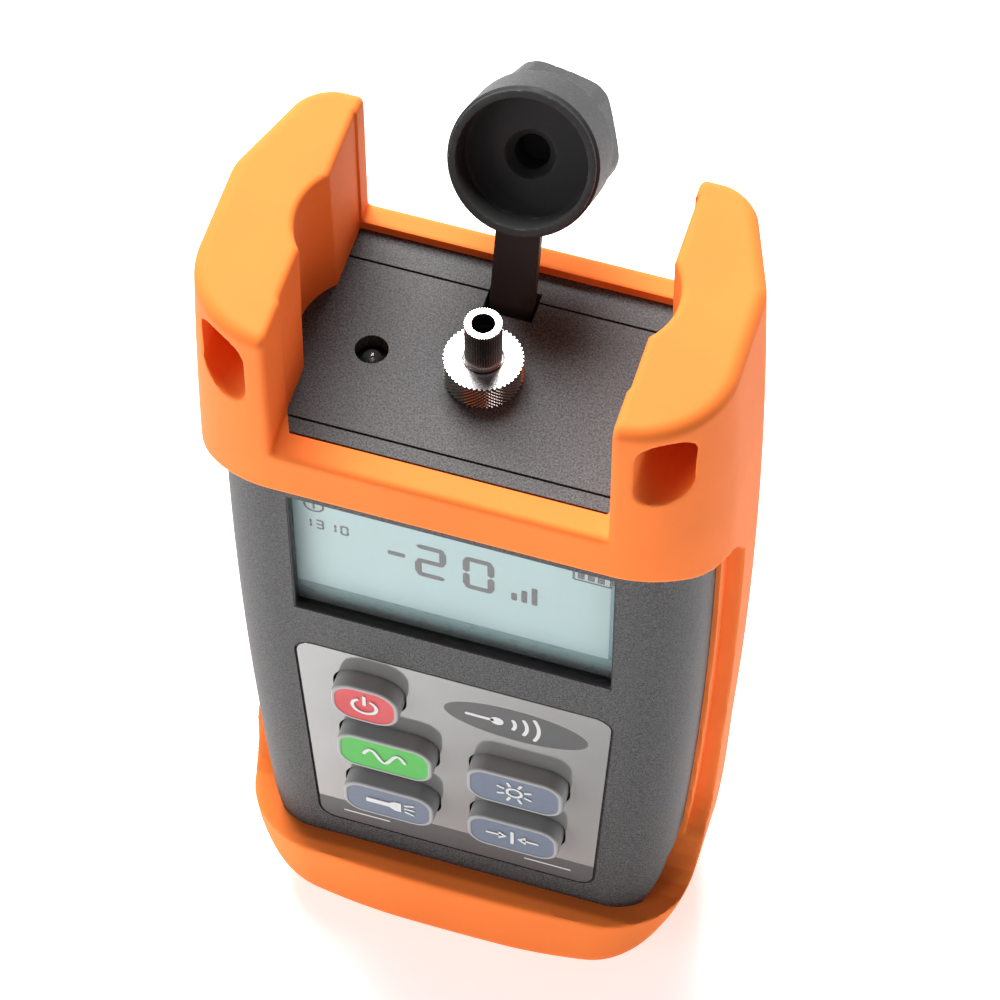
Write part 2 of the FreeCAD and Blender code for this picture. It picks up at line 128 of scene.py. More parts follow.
def silicone(name, base, spread=0.04, rough=(0.46, 0.6), spec=0.35):
    m = Mat(name)
    big = m.noise(60.0, 3.0, 0.5)
    fine = m.noise(2600.0, 3.0, 0.6)
    dark = tuple(c * (1 - spread) for c in base)
    lite = tuple(min(1.0, c * (1 + spread)) for c in base)
    m.link(m.ramp(big, [(0.35, dark), (0.65, lite)]), m.b.inputs["Base Color"])
    m.rough(fine, *rough)
    m.link(m.bump(fine, 0.00002, 0.5), m.b.inputs["Normal"])
    m.set(**{"Specular IOR Level": spec})
    return m.m


def spark_abs(name, base, contrast=0.35, scale=2300.0, bump=0.00005, rough=(0.5, 0.72)):
    """Moulded plastic with a spark-eroded grain."""
    m = Mat(name)
    grain = m.noise(scale, 2.0, 0.55)
    speck = m.noise(scale * 2.1, 1.0, 0.5)
    cloud = m.noise(45.0, 3.0, 0.5)
    mix = m.node("ShaderNodeMix")
    mix.data_type = "FLOAT"
    mix.inputs["Factor"].default_value = 0.4
    m.link(grain, mix.inputs["A"])
    m.link(speck, mix.inputs["B"])
    lo = tuple(c * (1 - contrast) for c in base)
    hi = tuple(c * (1 + contrast) for c in base)
    col = m.ramp(mix.outputs["Result"], [(0.40, lo), (0.5, base), (0.61, hi)])
    shade = m.ramp(cloud, [(0.3, (0.93, 0.93, 0.93)), (0.7, (1.0, 1.0, 1.0))])
    mul = m.nt.nodes.new("ShaderNodeMix")
    mul.data_type = "RGBA"
    mul.blend_type = "MULTIPLY"
    mul.inputs["Factor"].default_value = 1.0
    m.link(col, mul.inputs[6])
    m.link(shade, mul.inputs[7])
    m.link(mul.outputs[2], m.b.inputs["Base Color"])
    m.rough(grain, *rough)
    m.link(m.bump(mix.outputs["Result"], bump, 0.9), m.b.inputs["Normal"])
    m.set(**{"Specular IOR Level": 0.27})
    return m.m


def smooth_plastic(name, base, rough=(0.18, 0.28), spec=0.5, bump=0.000006, scale=700.0, coat=0.0, metallic=0.0):
    m = Mat(name)
    n = m.noise(scale, 3.0, 0.5)
    c = m.noise(90.0, 2.0, 0.5)
    m.link(m.ramp(c, [(0.3, tuple(v * 0.965 for v in base)), (0.7, tuple(min(1, v * 1.02) for v in base))]),
           m.b.inputs["Base Color"])
    m.rough(n, *rough)
    m.link(m.bump(n, bump, 0.5), m.b.inputs["Normal"])
    m.set(**{"Specular IOR Level": spec, "Metallic": metallic})
    if coat:
        m.b.inputs["Coat Weight"].default_value = coat
        m.b.inputs["Coat Roughness"].default_value = 0.06
    return m.m


def metal(name, base, rough=(0.16, 0.3), scale=1800.0, bump=0.000008, stretch=None):
    m = Mat(name)
    coords = m.tc.outputs["Object"]
    if stretch:
        mp = m.nt.nodes.new("ShaderNodeMapping")
        mp.inputs["Scale"].default_value = stretch
        m.link(coords, mp.inputs["Vector"])
        coords = mp.outputs["Vector"]
    n = m.noise(scale, 3.0, 0.6, coords)
    m.link(m.ramp(n, [(0.3, tuple(v * 0.86 for v in base)), (0.7, base)]), m.b.inputs["Base Color"])
    m.rough(n, *rough)
    m.link(m.bump(n, bump, 0.6), m.b.inputs["Normal"])
    m.set(Metallic=1.0)
    return m.m


def clear(name, tint, alpha, rough=0.04):
    m = Mat(name)
    n = m.noise(120.0, 2.0, 0.5)
    m.link(m.ramp(n, [(0.3, tuple(v * 0.97 for v in tint)), (0.7, tint)]), m.b.inputs["Base Color"])
    r = m.node("ShaderNodeMapRange", **{"From Min": 0.3, "From Max": 0.7, "To Min": rough * 0.8, "To Max": rough * 1.3})
    m.link(n, r.inputs["Value"])
    m.link(r.outputs["Result"], m.b.inputs["Roughness"])
    m.b.inputs["Alpha"].default_value = alpha
    m.set(**{"Specular IOR Level": 0.5})
    return m.m


ORANGE = silicone("boot_silicone_look", (0.95, 0.215, 0.040), rough=(0.62, 0.76), spec=0.12)
ABS = spark_abs("housing_look", (0.062, 0.062, 0.063), contrast=0.75, scale=3700.0, bump=0.00010, rough=(0.5, 0.66))
ABS_IN = spark_abs("housing_dark_look", (0.05, 0.05, 0.052), contrast=0.15)
LABEL = smooth_plastic("label_look", (0.27, 0.27, 0.265), rough=(0.07, 0.11), spec=0.7, coat=0.0, metallic=0.5)
STRIP = smooth_plastic("label_dark_look", (0.085, 0.085, 0.086), rough=(0.34, 0.42), spec=0.3)
KEYSIDE = smooth_plastic("key_side_look", (0.29, 0.29, 0.292), rough=(0.42, 0.55), spec=0.35, scale=1500.0)
# lighter gray on each key's rounded face edge and thin border: painted edge highlight
KEY_EDGE_HIGHLIGHT = smooth_plastic("key_edge_painted_highlight_look", (0.34, 0.34, 0.34), rough=(0.4, 0.5), spec=0.3)
RED = smooth_plastic("key_red_look", lin(196, 70, 73), rough=(0.42, 0.55), spec=0.3)
GREEN = smooth_plastic("key_green_look", lin(78, 172, 76), rough=(0.42, 0.55), spec=0.3)
SLATE = smooth_plastic("key_slate_look", lin(104, 113, 130), rough=(0.42, 0.55), spec=0.3)
MARK = smooth_plastic("key_mark_look", (0.62, 0.62, 0.62), rough=(0.4, 0.5), spec=0.3)
WHITE = smooth_plastic("print_white_look", (0.82, 0.82, 0.82), rough=(0.4, 0.5), spec=0.3)
LCD = smooth_plastic("lcd_look", lin(160, 186, 187), rough=(0.3, 0.34), spec=0.2, scale=2600.0, bump=0.000001)
# darker teal for the band along the bottom and right edge of the LCD: painted reflection of the dark window recess wall
LCD_WALL_REFLECTION = smooth_plastic("lcd_wall_painted_reflection_look", lin(98, 136, 138), rough=(0.25, 0.35), spec=0.3)
SEG = smooth_plastic("lcd_segment_look", lin(72, 66, 68), rough=(0.3, 0.4), spec=0.2)
CAP = silicone("cap_rubber_look", (0.033, 0.033, 0.034), 0.08, (0.46, 0.6), 0.2)
NICKEL = metal("nickel_look", (0.96, 0.95, 0.945), (0.2, 0.26), 5200.0, 0.000001)
# darker copy of the nickel for the knurled and serrated faces: painted shade of the grooves
NICKEL_GROOVE_SHADE = metal("knurl_painted_shade_look", (0.30, 0.275, 0.26), (0.16, 0.24), 5200.0, 0.000001)
STEEL = metal("steel_look", (0.6, 0.6, 0.6), (0.25, 0.4))
GLASS = clear("window_look", (0.92, 0.97, 0.97), 0.07, 0.02)
# near-black tint on the clear lamp lens: painted shade of the hollow behind it; the glints are real reflections
LED_LENS_SHADE = clear("led_lens_painted_shade_look", (0.03, 0.03, 0.034), 0.8, 0.03)
BOARD = smooth_plastic("board_look", (0.015, 0.12, 0.04), rough=(0.3, 0.4))
MEMBRANE = silicone("membrane_look", (0.2, 0.2, 0.2), 0.05)
CELLS = smooth_plastic("cell_look", (0.08, 0.09, 0.11), rough=(0.25, 0.35))
CHIP = smooth_plastic("chip_look", (0.9, 0.75, 0.35), rough=(0.4, 0.5))
INK = smooth_plastic("black_look", (0.012, 0.012, 0.013), rough=(0.4, 0.55), spec=0.3)


# ------------------------------------------------------------------ signed distance kit (mm)
def rmax(a, b, r):
    return np.minimum(np.maximum(a, b), -r) + np.hypot(np.maximum(a + r, 0), np.maximum(b + r, 0))


def rmin(a, b, r):
    return np.maximum(np.minimum(a, b), r) - np.hypot(np.maximum(r - a, 0), np.maximum(r - b, 0))


def rcut(a, b, r):
    return rmax(a, -b, r)


class Outline:
    """Signed distance to a closed 2-D outline, looked up on a fine grid."""

    def __init__(self, pts, lo, hi, h=0.25):
        self.lo, self.h = lo, h
        nu, nv = int((hi[0] - lo[0]) / h) + 2, int((hi[1] - lo[1]) / h) + 2
        u, v = np.meshgrid(lo[0] + h * np.arange(nu), lo[1] + h * np.arange(nv), indexing="ij")
        d = np.full(u.shape, 1e9)
        ins = np.zeros(u.shape, bool)
        n = len(pts)
        for i in range(n):
            (x0, y0), (x1, y1) = pts[i], pts[(i + 1) % n]
            ex, ey = x1 - x0, y1 - y0
            t = np.clip(((u - x0) * ex + (v - y0) * ey) / max(ex * ex + ey * ey, 1e-12), 0, 1)
            d = np.minimum(d, np.hypot(u - x0 - t * ex, v - y0 - t * ey))
            if y0 != y1:
                c = ((y0 <= v) != (y1 <= v)) & (u < (v - y0) / (y1 - y0) * ex + x0)
                ins ^= c
        self.g = np.where(ins, -d, d)

    def __call__(self, u, v):
        u, v = np.broadcast_arrays(u, v)
        a = np.clip((u - self.lo[0]) / self.h, 0, self.g.shape[0] - 1.001)
        b = np.clip((v - self.lo[1]) / self.h, 0, self.g.shape[1] - 1.001)
        i, j = a.astype(int), b.astype(int)
        a, b = a - i, b - j
        g = self.g
        return (g[i, j] * (1 - a) * (1 - b) + g[i + 1, j] * a * (1 - b)
                + g[i, j + 1] * (1 - a) * b + g[i + 1, j + 1] * a * b)


def dual_contour(f, lo, hi, h):
    """Vertices (mm) and quads of f = 0, with creases kept."""
    lo = np.array(lo, float)
    n = np.ceil((np.array(hi) - lo) / h).astype(int) + 1
    ax = [lo[i] + h * np.arange(n[i]) for i in range(3)]
    F = np.empty(n, np.float32)
    step = 24
    for s in range(0, n[2], step):
        e = min(s + step, n[2])
        F[:, :, s:e] = f(ax[0][:, None, None], ax[1][None, :, None], ax[2][None, None, s:e])
    ins = F < 0
    dims = n - 1
    P_all, C_all, quads = [], [], []
    for a in range(3):
        b, c = (a + 1) % 3, (a + 2) % 3
        sl0 = [slice(None)] * 3
        sl1 = [slice(None)] * 3
        sl0[a], sl1[a] = slice(0, -1), slice(1, None)
        cr = ins[tuple(sl0)] != ins[tuple(sl1)]
        idx = np.argwhere(cr)
        ok = ((idx[:, b] > 0) & (idx[:, c] > 0) & (idx[:, b] < dims[b]) & (idx[:, c] < dims[c]))
        idx = idx[ok]
        j = idx.copy()
        j[:, a] += 1
        f0 = F[idx[:, 0], idx[:, 1], idx[:, 2]].astype(float)
        f1 = F[j[:, 0], j[:, 1], j[:, 2]].astype(float)
        base = lo + idx * h
        t0, t1 = np.zeros(len(idx)), np.ones(len(idx))
        for _ in range(5):
            t = t0 + (t1 - t0) * np.clip(f0 / (f0 - f1 + 1e-20), 0.05, 0.95)
            p = base.copy()
            p[:, a] += t * h
            ft = f(p[:, 0], p[:, 1], p[:, 2])
            left = (ft < 0) == (f0 < 0)
            t0, f0 = np.where(left, t, t0), np.where(left, ft, f0)
            t1, f1 = np.where(left, t1, t), np.where(left, f1, ft)
        t = t0 + (t1 - t0) * np.clip(f0 / (f0 - f1 + 1e-20), 0, 1)
        p = base.copy()
        p[:, a] += t * h
        P_all.append(p)
        cells = []
        for db, dc in ((-1, -1), (0, -1), (0, 0), (-1, 0)):
            q = idx.copy()
            q[:, b] += db
            q[:, c] += dc
            cells.append((q[:, 0] * dims[1] + q[:, 1]) * dims[2] + q[:, 2])
        cells = np.stack(cells, 1)
        C_all.append(cells)
        inside0 = ins[idx[:, 0], idx[:, 1], idx[:, 2]]
        quads.append(np.where(inside0[:, None], cells, cells[:, ::-1]))
    P = np.concatenate(P_all)
    C = np.concatenate(C_all)
    Q = np.concatenate(quads)
    e = 0.004
    N = np.stack([f(P[:, 0] + e * (k == 0), P[:, 1] + e * (k == 1), P[:, 2] + e * (k == 2))
                  - f(P[:, 0] - e * (k == 0), P[:, 1] - e * (k == 1), P[:, 2] - e * (k == 2)) for k in range(3)], 1)
    N /= np.linalg.norm(N, axis=1)[:, None] + 1e-12
    ids, inv = np.unique(C.ravel(), return_inverse=True)
    m = len(ids)
    Pr, Nr = np.repeat(P, 4, 0), np.repeat(N, 4, 0)
    cnt = np.bincount(inv, minlength=m).astype(float)
    mean = np.stack([np.bincount(inv, Pr[:, k], m) for k in range(3)], 1) / cnt[:, None]
    rhs_e = np.einsum("ij,ij->i", Nr, Pr - mean[inv])
    A = np.empty((m, 3, 3))
    B = np.empty((m, 3))
    for i in range(3):
        B[:, i] = np.bincount(inv, Nr[:, i] * rhs_e, m)
        for k in range(i, 3):
            A[:, i, k] = A[:, k, i] = np.bincount(inv, Nr[:, i] * Nr[:, k], m)
    for i in range(3):
        A[:, i, i] += 0.06
    d = np.linalg.solve(A, B[:, :, None])[:, :, 0]
    cell = np.stack([ids // (dims[1] * dims[2]), (ids // dims[2]) % dims[1], ids % dims[2]], 1)
    clo = lo + cell * h
    Vx = np.clip(mean + d, clo + 0.002 * h, clo + 0.998 * h)
    lut = np.searchsorted(ids, Q.ravel()).reshape(Q.shape)
    return Vx, lut


def make_mesh(name, verts_mm, faces, mats, smooth=True):
    me = bpy.data.meshes.new(name)
    v = np.asarray(verts_mm, float) * MM
    if isinstance(faces, np.ndarray):
        nf, k = faces.shape
        me.vertices.add(len(v))
        me.vertices.foreach_set("co", v.ravel())
        me.loops.add(nf * k)
        me.loops.foreach_set("vertex_index", faces.ravel().astype(np.int32))
        me.polygons.add(nf)
        me.polygons.foreach_set("loop_start", np.arange(0, nf * k, k, dtype=np.int32))
        me.update(calc_edges=True)
        me.validate()
    else:
        me.from_pydata([tuple(p) for p in v], [], faces)
        me.update()
    for m in (mats if isinstance(mats, (list, tuple)) else [mats]):
        me.materials.append(m)
    if smooth:
        me.polygons.foreach_set("use_smooth", [True] * len(me.polygons))
    return link(bpy.data.objects.new(name, me))


def bake(o):
    """Apply the object's modifiers into its mesh."""
    dg = bpy.context.evaluated_depsgraph_get()
    me = bpy.data.meshes.new_from_object(o.evaluated_get(dg))
    old = o.data
    o.modifiers.clear()
    o.data = me
    bpy.data.meshes.remove(old)
    return o


def sdf_object(name, f, lo, hi, h, mats, keep, sharp=42.0):
    v, q = dual_contour(f, lo, hi, h)
    o = make_mesh(name, v, q, mats)
    tris = 2 * len(q)
    if keep < tris:
        d = o.modifiers.new("d", "DECIMATE")
        d.ratio = keep / tris
        bake(o)
    o.data.polygons.foreach_set("use_smooth", [True] * len(o.data.polygons))
    o.data.set_sharp_from_angle(angle=math.radians(sharp))
    return o


def arc3(p0, p1, p2, n=24):
    """Points of the circular arc through three points."""
    (ax_, ay), (bx, by), (cx, cy) = p0, p1, p2
    d = 2 * (ax_ * (by - cy) + bx * (cy - ay) + cx * (ay - by))
    ux = ((ax_**2 + ay**2) * (by - cy) + (bx**2 + by**2) * (cy - ay) + (cx**2 + cy**2) * (ay - by)) / d
    uy = ((ax_**2 + ay**2) * (cx - bx) + (bx**2 + by**2) * (ax_ - cx) + (cx**2 + cy**2) * (bx - ax_)) / d
    r = math.hypot(ax_ - ux, ay - uy)
    a0, a1, a2 = (math.atan2(p[1] - uy, p[0] - ux) for p in (p0, p1, p2))
    while a1 < a0:
        a1 += 2 * math.pi
    while a2 < a1:
        a2 += 2 * math.pi
    if a2 - a0 > 2 * math.pi:
        a0, a1, a2 = a0, a1 - 2 * math.pi, a2 - 4 * math.pi
    return [(ux + r * math.cos(a0 + (a2 - a0) * i / n), uy + r * math.sin(a0 + (a2 - a0) * i / n)) for i in range(n + 1)]


# ------------------------------------------------------------------ the boot
def belly(z):
    return 35.9 - 0.0005 * (z - 92.0) ** 2


def base_outline(drop):
    if drop:
        a, b, c, az, bz, mz = 20.6 - drop * 0.35, 28.6 - drop * 0.75, 33.6 - drop, 3.2, 10.4, 1.0
    else:
        a, b, c, az, bz, mz = 22.8, 32.2, 34.1, 2.2, 8.8, 0.7
    one = arc3((9.0, drop), ((9.0 + a) / 2, drop + mz), (a, drop + az), 12)
    two = arc3((a, drop + az), (b, drop * 0.75 + bz), (c, 25.0), 30)
    half = one + two[1:] + [(45.0, 60.0), (45.0, 170.0)]
    pts = half + [(-x, z) for x, z in reversed(half)]
    return Outline(pts, (-48, -8), (48, 172), 0.3)


BASE0, BASE1 = base_outline(0.0), base_outline(3.6)
FRONT_OPEN = Outline([(-60, 15.5), (-20.6, 15.5), (-18.2, 16.1), (-15.9, 15.6), (-11.5, 15.0), (-9.4, 15.3), (-7.6, 16.6),
                      (-6.2, 18.8), (-5.3, 21.6), (-4.8, 25.5), (-4.8, 101.6), (-5.6, 103.2), (-7.0, 105.0), (-8.3, 106.5),
                      (-9.3, 107.3), (-10.4, 107.9), (-11.6, 108.35), (-13.6, 108.8), (-15.4, 109.5), (-17.2, 110.6),
                      (-18.6, 111.4), (-20.4, 112.3), (-23, 113.0), (-60, 113.0)],
                     (-62, -8), (30, 150), 0.25)
STRIP_ZONE = Outline([(-9.0, 19.5), (-9.0, 107.0), (-6.0, 103.6), (-4.8, 101.9), (-3.4, 99.8), (-2.0, 97.3),
                      (-2.0, 33.0), (-2.3, 30.0), (-3.0, 27.2), (-4.2, 24.4), (-6.0, 21.6)], (-30, -8), (30, 150), 0.25)
PANEL_OPEN = Outline([(-20.9, -16.45), (20.9, -16.45), (22.4, -12.9), (22.4, 16.9), (-22.4, 16.9), (-22.4, -12.9)],
                     (-40, -30), (40, 30), 0.25)


def smoothstep(a, b, x):
    t = np.clip((x - a) / (b - a), 0, 1)
    return t * t * (3 - 2 * t)


def body_sdf(X, Y, Z, grow=0.0):
    ax = np.abs(X)
    b = belly(Z)
    side = ax - (b - 3.1)
    s = rmax(-16.0 - Y, side, 8.0)
    ch = (ax - (b - 3.1)) * 0.934 + (Y - 4.3) * 0.356
    s = np.maximum(s, rmax(ch, Y - 17.0, 2.5))
    s = np.maximum(s, BASE1(X, Z))
    return np.maximum(s, Z - 120.0) - grow


def boot_sdf(X, Y, Z):
    ax = np.abs(X)
    b = belly(Z) + 0.45 * smoothstep(48.0, 22.0, Z)
    low = np.clip((30.0 - Z) / 12.0, 0, 1)
    side = ax - b
    s = rmax(-20.4 + low * (X / 30.0) ** 2 - Y, side, 13.0 - low)
    ch = (ax - b) * 0.934 + (Y - 5.4) * 0.356
    s = rmax(s, rmax(ch, Y - 20.2, 4.0), 0.6)
    rb = 0.3 + 3.7 * np.clip((24.0 - Z) / 14.0, 0, 1)
    s = rmax(s, BASE0(X, Z), rb)
    s = rmax(s, Z - 144.6, 1.8)
    rim = 120.25 + 1.25 * smoothstep(8.0, 12.0, Y)
    gap = rmax(ax - 22.1, rim - Z, 0.7)
    scallop = np.maximum(np.hypot(ax - 15.8, Y - 0.6) - (9.45 - 0.7 * np.clip((Z - 120) / 24.6, 0, 1.2)), 119.9 - Z)
    gap = rmin(gap, scallop, 0.5)
    gap = np.minimum(gap, np.maximum(PANEL_OPEN(X, Y), 119.0 - Z))
    s = rcut(s, gap, 0.9)
    u, w = np.abs(ax - 28.3) - 3.4, np.abs(Z - 135.7) - 6.3
    mouth = np.maximum(rmax(u, w, 3.3), Y + 6.0)
    cord = rmax(np.abs(ax - 29.8) - 1.4, np.abs(Z - 135.7) - 4.5, 1.35)
    s = rcut(s, np.minimum(mouth, cord), 0.35)
    strip = np.maximum(STRIP_ZONE(Y, Z), (belly(Z) - 2.3) - ax)
    s = rcut(s, strip, 0.4)
    s = rcut(s, FRONT_OPEN(Y, Z) + 0 * X, 0.4)
    return np.maximum(s, -body_sdf(X, Y, Z, 0.02))


boot = sdf_object("boot", boot_sdf, (-37.0, -21.3, -0.9), (37.0, 21.2, 145.6), 0.42, [ORANGE], 170000)
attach(boot, "meter")
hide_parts("protective_boot")

# ------------------------------------------------------------------ the dust cap
CAP_O = np.array([0.0, 15.3, 144.3])
CAP_T = math.radians(54.7)
CAP_N = np.array([0.0, -math.sin(CAP_T), math.cos(CAP_T)])
CAP_W = np.array([0.0, math.cos(CAP_T), math.sin(CAP_T)])
STRAP_A = math.radians(13.8)


def cap_sdf(X, Y, Z):
    dy, dz = Y - CAP_O[1], Z - CAP_O[2]
    d = -(dy * CAP_N[1] + dz * CAP_N[2])
    q = dy * CAP_W[1] + dz * CAP_W[2]
    r = np.hypot(X, q)
    rim = 9.5 + 0.35 * np.clip((d - 0.75) / 0.25, 0, 1)
    s = rmax(r - rim, -d, 0.22)
    s = rmax(s, d - 14.3, 1.1)
    for k in range(6):
        a = math.radians(81.0 + 60.0 * k)
        flat = X * math.cos(a) + q * math.sin(a) - 8.9
        s = rmax(s, np.minimum(flat, d - 8.5), 0.16)
    # strap and bead
    ty, tz = math.cos(STRAP_A), -math.sin(STRAP_A)
    sy, sz = math.sin(STRAP_A), math.cos(STRAP_A)
    py, pz = Y - 10.8, Z - 116.2
    along = py * sy + pz * sz
    across = py * ty + pz * tz
    half = 0.85 + 0.75 * smoothstep(14.5, 21.5, along)
    st = rmax(np.abs(X) - 2.95, np.abs(across) - half, 0.3)
    st = np.maximum(st, np.maximum(-along - 0.2, along - 24.0))
    st = np.maximum(st, 0.9 - d)
    bead = rmax(np.hypot(py, pz) - 1.6, np.abs(X) - 4.6, 0.4)
    s = rmin(s, rmin(st, bead, 0.25), 0.5)
    recess = rmax(r - 8.45 - 0.18 * np.clip(0.5 - d, 0, 1), d - 4.7, 0.3)
    hole = np.maximum(r - (2.3 + 1.0 * np.clip((6.0 - d) / 1.3, 0, 1)), d - 10.2)
    s = rcut(s, recess, 0.16)
    return rcut(s, hole, 0.1)


cap = sdf_object("cap_and_strap", cap_sdf, (-10.6, 8.4, 113.6), (10.6, 33.6, 153.6), 0.3, [CAP], 90000, 35.0)
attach(cap, "dust_cap_body")
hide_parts("dust_cap")


# ------------------------------------------------------------------ turned parts
def rings(name, rows, n, mats, mat_of=None, centre=(0.0, 0.0), smooth=True, sharp=40.0):
    """Closed body of revolution from rows of (radius or radii, z); the last row joins the first."""
    th = np.linspace(0, 2 * math.pi, n, endpoint=False)
    v, f, mi = [], [], []
    for r, z in rows:
        r = np.broadcast_to(np.asarray(r, float), (n,))
        v.append(np.stack([centre[0] + r * np.cos(th), centre[1] + r * np.sin(th), np.full(n, z)], 1))
    m = len(rows)
    i = np.arange(n)
    j = (i + 1) % n
    for k in range(m):
        k2 = (k + 1) % m
        f.append(np.stack([k * n + i, k * n + j, k2 * n + j, k2 * n + i], 1))
        mi += [mat_of(k) if mat_of else 0] * n
    o = make_mesh(name, np.concatenate(v), np.concatenate(f), mats, smooth)
    o.data.polygons.foreach_set("material_index", mi)
    if smooth:
        o.data.set_sharp_from_angle(angle=math.radians(sharp))
    return o


def tri_wave(x):
    return 1.0 - np.abs(2.0 * (x - np.floor(x)) - 1.0)


def knurled_nut():
    n, teeth = 384, 48
    th = np.linspace(0, 2 * math.pi, n, endpoint=False)
    turn = teeth * th / (2 * math.pi)
    rows = [(2.52, 123.72), (3.67, 123.7), (3.67, 120.7), (3.9, 120.36), (4.7, 120.35)]
    zs = np.linspace(120.62, 124.3, 45)
    pitch = 0.668
    for z in zs:
        a, b = tri_wave(turn + z / pitch), tri_wave(turn - z / pitch)
        h = np.minimum(np.minimum(a, b) * 1.35, 1.0)
        rows.append((5.17 - 0.46 * (1 - h), z))
    rows.append((5.12 - 0.34 * (1 - np.minimum(tri_wave(turn) * 1.5, 1.0)), 124.42))
    rows.append((5.12 - 0.34 * (1 - np.minimum(tri_wave(turn) * 1.5, 1.0)), 124.5))
    rows += [(4.7, 124.5), (2.75, 124.5), (2.52, 124.36)]
    # knurled side in the darker nickel copy as painted shade; the top and ends stay bright nickel
    return rings("knurled_nut", rows, n, [NICKEL_GROOVE_SHADE, NICKEL], lambda k: 1 if k >= len(rows) - 4 or k < 4 else 0,
                 (0.0, -1.0), sharp=24.0)


nut = knurled_nut()
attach(nut, "coupling_nut_body")
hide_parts("coupling_nut")


def serrated_barrel():
    n, teeth = 352, 44
    th = np.linspace(0, 2 * math.pi, n, endpoint=False)
    g = 1.0 - np.minimum(1.0, 1.15 * tri_wave(teeth * th / (2 * math.pi)))
    # upper cylinder and serrated band take the darker nickel copy: painted shade of the grooves
    rows = [(1.25, 122.6), (3.3, 122.6), (3.35, 122.65), (3.35, 123.45), (3.3, 123.5), (2.42, 123.5), (2.42, 125.3)]
    rows += [(2.45 - 0.36 * g * t, 125.3 + 0.35 * t) for t in (0.35, 0.7, 1.0)]
    rows += [(2.45 - 0.36 * g, z) for z in (127.5, 129.5, 131.2, 131.97)]
    rows += [(2.43 - 0.35 * g, 132.0), (2.03, 132.0), (1.56, 132.0), (1.5, 131.94), (1.5, 129.6), (1.25, 129.35)]
    # the bore walls, the last three bands, are black: painted shade inside the hole
    return rings("serrated_barrel", rows, n, [NICKEL, NICKEL_GROOVE_SHADE, INK],
                 lambda k: 2 if k >= len(rows) - 3 else (1 if 5 <= k <= 13 else 0), (0.0, -1.0), sharp=30.0)


barrel = serrated_barrel()
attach(barrel, "meter")
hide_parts("adapter_barrel")

thread_rows = [(1.6, 111.6), (3.3, 111.5)]
thread_rows += [(3.3, 115.6), (6.0, 115.65), (6.0, 117.75), (3.56, 117.8)]
for i in range(37):
    thread_rows.append((3.58 if i % 2 else 3.38, 118.0 + 0.12 * i))
thread_rows += [(3.4, 122.58), (1.7, 122.6), (1.6, 122.5)]
port = rings("threaded_port", thread_rows, 96, [NICKEL], None, (0.0, -1.0), sharp=30.0)
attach(port, "meter")
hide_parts("detector_receptacle")

# ------------------------------------------------------------------ the lamp
LX, LY = -15.0, -1.0
lens_rows = [(0.05, 113.0), (1.88, 113.0), (1.9, 113.75), (1.52, 113.85), (1.5, 117.4)]
lens_rows += [(1.5 * math.cos(math.radians(a)), 117.4 + 1.5 * math.sin(math.radians(a))) for a in range(6, 90, 6)]
lens_rows += [(0.05, 118.9)]


def capped(name, rows, n, mats, centre, mat_of=None, sharp=40.0):
    """Turned solid that closes on its axis at both ends."""
    th = np.linspace(0, 2 * math.pi, n, endpoint=False)
    v, f = [], []
    for r, z in rows:
        for t in th:
            v.append((centre[0] + r * math.cos(t), centre[1] + r * math.sin(t), z))
    mi = []
    for k in range(len(rows) - 1):
        for i in range(n):
            j = (i + 1) % n
            f.append((k * n + i, k * n + j, (k + 1) * n + j, (k + 1) * n + i))
            mi.append(mat_of(k) if mat_of else 0)
    a, b = len(v), len(v) + 1
    v += [(centre[0], centre[1], rows[0][1]), (centre[0], centre[1], rows[-1][1])]
    for i in range(n):
        j = (i + 1) % n
        f.append((a, j, i))
        f.append((b, (len(rows) - 1) * n + i, (len(rows) - 1) * n + j))
        mi += [mat_of(0) if mat_of else 0, mat_of(len(rows) - 2) if mat_of else 0]
    o = make_mesh(name, v, f, mats)
    o.data.polygons.foreach_set("material_index", mi)
    o.data.set_sharp_from_angle(angle=math.radians(sharp))
    return o


# lens tinted dark as painted shade of the lamp hollow
lens = capped("lamp_lens", lens_rows, 64, [LED_LENS_SHADE], (LX, LY))
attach(lens, "meter")
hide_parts("torch_led")
cup = rings("lamp_cup", [(0.35, 114.6), (1.32, 116.3), (1.36, 116.3), (1.36, 114.4), (0.35, 114.4)], 48, [NICKEL, INK],
            lambda k: 0 if k == 0 else 1, (LX, LY))
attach(cup, "meter")
chip = capped("lamp_chip", [(0.3, 114.2), (0.3, 114.8), (0.22, 114.9)], 24, [CHIP], (LX, LY))
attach(chip, "meter")
holder = rings("lamp_holder", [(1.92, 112.6), (1.92, 113.8), (1.53, 113.8), (1.53, 116.9), (1.62, 117.1), (2.17, 117.15),
                               (2.17, 117.78), (3.2, 117.78), (3.2, 112.6)], 72, [INK], None, (LX, LY))
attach(holder, "meter")
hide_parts("led_holder")


# ------------------------------------------------------------------ flat artwork
def weld(me, dist=1e-7):
    import bmesh
    bm = bmesh.new()
    bm.from_mesh(me)
    bmesh.ops.remove_doubles(bm, verts=bm.verts, dist=dist)
    bmesh.ops.recalc_face_normals(bm, faces=bm.faces)
    bm.to_mesh(me)
    bm.free()


